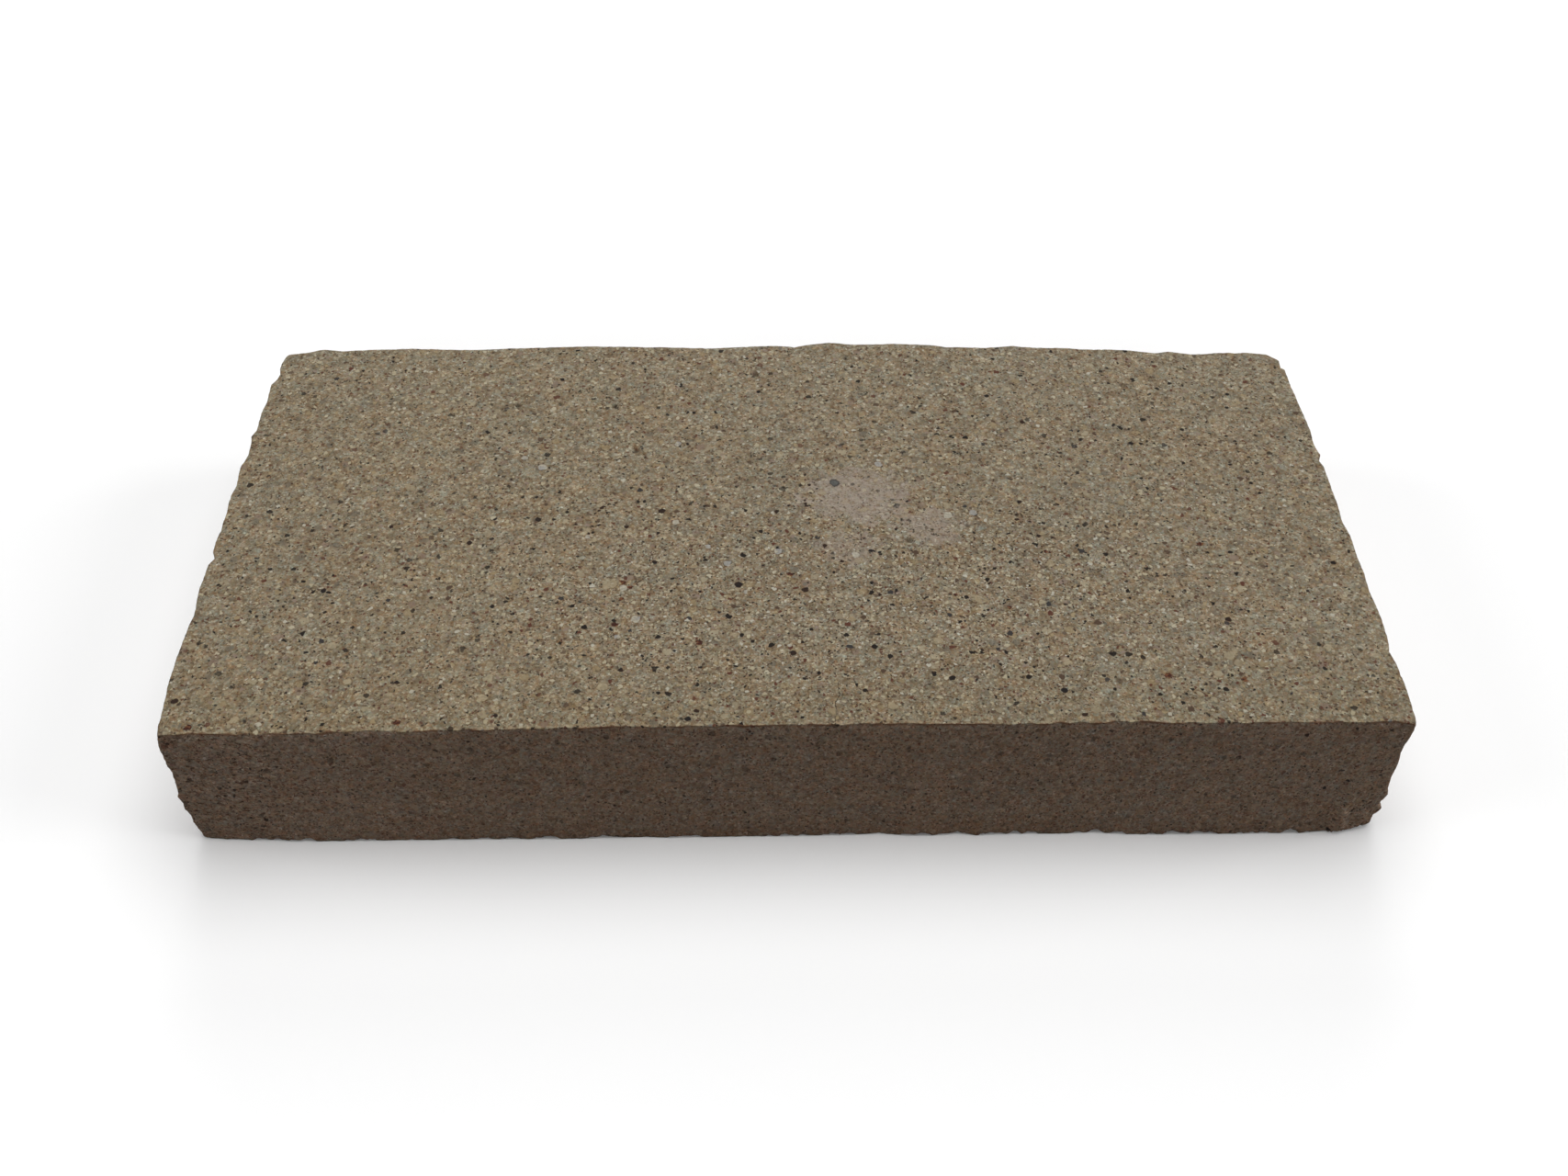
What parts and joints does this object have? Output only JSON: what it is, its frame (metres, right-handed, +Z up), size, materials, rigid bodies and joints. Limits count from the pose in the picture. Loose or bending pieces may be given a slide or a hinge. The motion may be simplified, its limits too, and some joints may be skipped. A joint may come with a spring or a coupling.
{
  "type": "firebrick",
  "caption": "Thin rectangular refractory brick with flat bed, stretcher and header faces, worn arrises and chipped corners, for lining fireboxes, stoves and kilns.",
  "frame": {"origin": "middle of the lower bed face, on which the brick lies", "axes": "+X along the length towards the right-hand header face, +Y along the width towards the back stretcher face, +Z up through the thickness"},
  "size_m": [0.23, 0.114, 0.032],
  "materials": {
    "fireclay": "matte, unglazed, speckled with grog"
  },
  "bodies": {
    "root": {"firebrick": "fireclay"}
  },
  "joints": []
}
